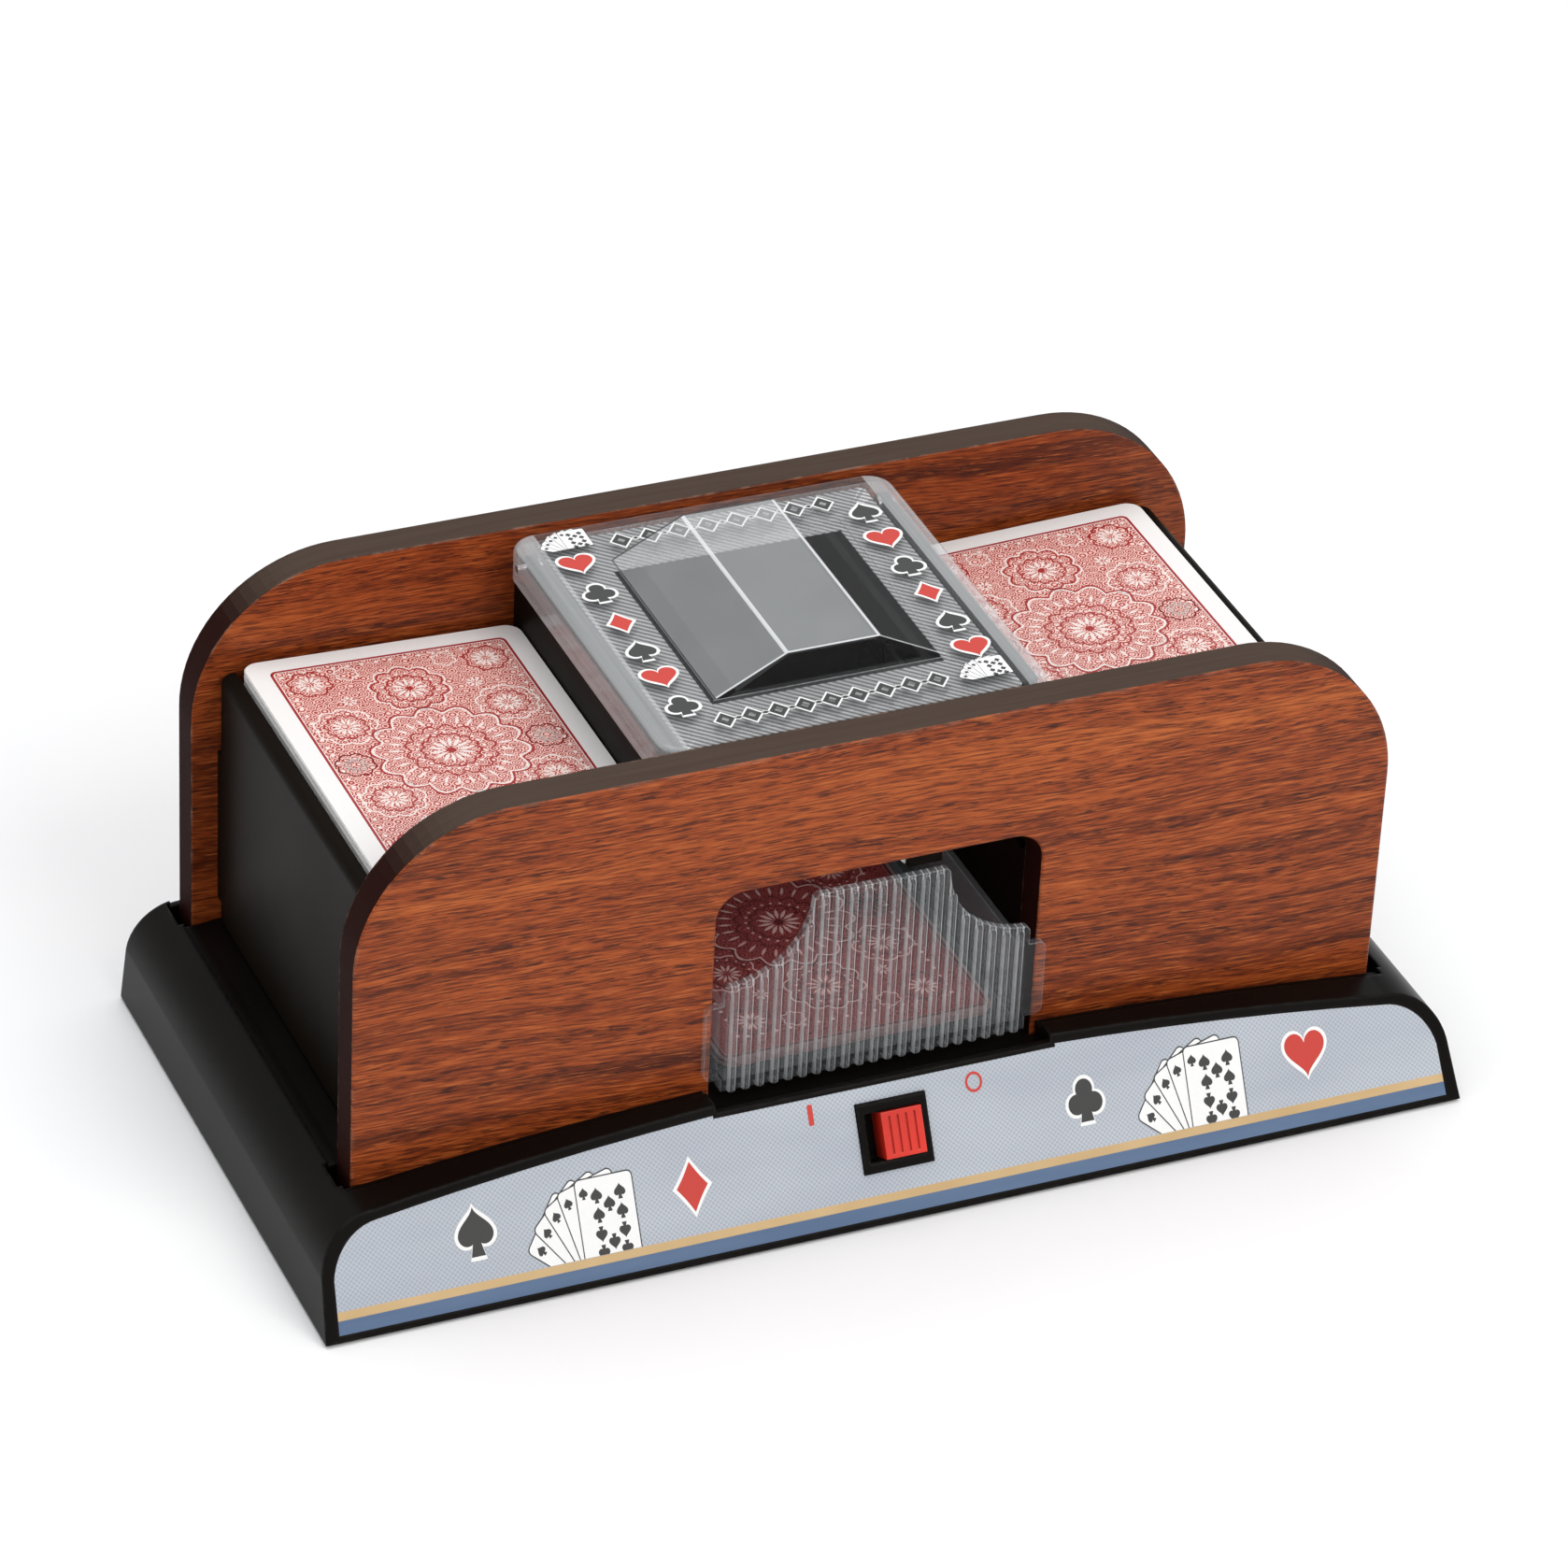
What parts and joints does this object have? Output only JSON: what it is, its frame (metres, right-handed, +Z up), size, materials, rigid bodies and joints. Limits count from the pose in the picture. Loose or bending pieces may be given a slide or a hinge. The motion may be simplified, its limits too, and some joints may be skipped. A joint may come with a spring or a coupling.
{
  "type": "automatic card shuffler",
  "caption": "Battery-driven table card shuffler: wooden side panels on an arched black base, card hoppers either side of a clear hinged lid, clear ribbed delivery tray at the front.",
  "frame": {"origin": "centre of the base's footprint, on the plane the rubber feet stand on", "axes": "+X right along the long side, +Y to the rear, +Z up; the tray, label and switch face -Y"},
  "size_m": [0.265, 0.1354, 0.1175],
  "materials": {
    "black_abs": "satin moulded black plastic",
    "wood": "red-brown wood-grain laminate, satin",
    "rubber": "matt",
    "steel": "bright",
    "zinc": "plated",
    "brass": "satin",
    "label": "printed, satin",
    "lid_print": "printed, satin",
    "clear": "clear moulded acrylic",
    "nylon": "natural white nylon",
    "red_plastic": "gloss",
    "cards": "coated card stock",
    "battery_wrap": "printed film wrap, no lettering",
    "wire": "insulated wire",
    "grey_abs": "textured black-grey plastic"
  },
  "bodies": {
    "frame": {"base_shell": "black_abs", "base_plate": "grey_abs", "rubber_feet": "rubber", "base_screws": "zinc", "front_label": "label", "battery_door": "grey_abs", "battery_door_screw": "zinc", "battery_holder": "grey_abs", "batteries": "battery_wrap", "battery_springs": "steel", "battery_contacts": "steel", "front_panel": "wood", "rear_panel": "wood", "panel_screws": "zinc", "hopper_chassis": "black_abs", "chassis_screws": "zinc", "exit_gates": "steel", "gate_screws": "zinc", "chute_bumper": "nylon", "roller_bushes": "brass", "idler_axles": "steel", "motor_brackets": "steel", "motor_screws": "zinc", "left_motor": "steel", "right_motor": "steel", "lid_hinge_pins": "steel", "tray_rails": "nylon", "switch_housing": "black_abs", "wires": "wire"},
    "lid": {"lid_cover": "clear", "lid_label": "lid_print"},
    "tray": {"tray": "clear", "tray_cards": "cards"},
    "switch": {"switch_button": "red_plastic"},
    "left_deck": {"left_deck": "cards"},
    "right_deck": {"right_deck": "cards"},
    "left_roller": {"left_roller_shaft": "steel", "left_roller_gear": "nylon", "left_roller_hubs": "nylon", "left_roller_tyres": "rubber"},
    "left_idler": {"left_idler_gear": "nylon"},
    "left_pinion": {"left_motor_pinion": "brass", "left_motor_shaft": "steel"},
    "right_roller": {"right_roller_shaft": "steel", "right_roller_gear": "nylon", "right_roller_hubs": "nylon", "right_roller_tyres": "rubber"},
    "right_idler": {"right_idler_gear": "nylon"},
    "right_pinion": {"right_motor_pinion": "brass", "right_motor_shaft": "steel"}
  },
  "joints": [
    {"name": "lid_hinge", "type": "hinge", "parent": "frame", "child": "lid", "pos_m": [0, 0.05, 0.1045], "axis": [-1, 0, 0], "range_deg": [0, 80]},
    {"name": "tray_slide", "type": "slide", "parent": "frame", "child": "tray", "axis": [0, -1, 0], "range_m": [0, 0.095]},
    {"name": "switch_slide", "type": "slide", "parent": "frame", "child": "switch", "axis": [-1, 0, 0], "range_m": [0, 0.0034]},
    {"name": "left_deck_lift", "type": "slide", "parent": "frame", "child": "left_deck", "axis": [0, 0, 1], "range_m": [0, 0.01]},
    {"name": "right_deck_lift", "type": "slide", "parent": "frame", "child": "right_deck", "axis": [0, 0, 1], "range_m": [0, 0.01]},
    {"name": "left_roller_spin", "type": "hinge", "parent": "frame", "child": "left_roller", "pos_m": [-0.0622, 0.0108, 0.054], "axis": [0, 1, 0], "continuous": true},
    {"name": "left_idler_spin", "type": "hinge", "parent": "frame", "child": "left_idler", "pos_m": [-0.07821, 0.048, 0.0434], "axis": [0, 1, 0], "continuous": true},
    {"name": "left_pinion_spin", "type": "hinge", "parent": "frame", "child": "left_pinion", "pos_m": [-0.09325, 0.048, 0.03793], "axis": [0, 1, 0], "continuous": true},
    {"name": "right_roller_spin", "type": "hinge", "parent": "frame", "child": "right_roller", "pos_m": [0.0578, 0.0108, 0.054], "axis": [0, -1, 0], "continuous": true},
    {"name": "right_idler_spin", "type": "hinge", "parent": "frame", "child": "right_idler", "pos_m": [0.07381, 0.048, 0.0434], "axis": [0, -1, 0], "continuous": true},
    {"name": "right_pinion_spin", "type": "hinge", "parent": "frame", "child": "right_pinion", "pos_m": [0.08885, 0.048, 0.03793], "axis": [0, -1, 0], "continuous": true}
  ],
  "couplings": [
    {"joint": "left_idler_spin", "follows": "left_roller_spin", "ratio": -0.71429},
    {"joint": "left_pinion_spin", "follows": "left_roller_spin", "ratio": 1.6667},
    {"joint": "right_idler_spin", "follows": "right_roller_spin", "ratio": -0.71429},
    {"joint": "right_pinion_spin", "follows": "right_roller_spin", "ratio": 1.6667}
  ]
}
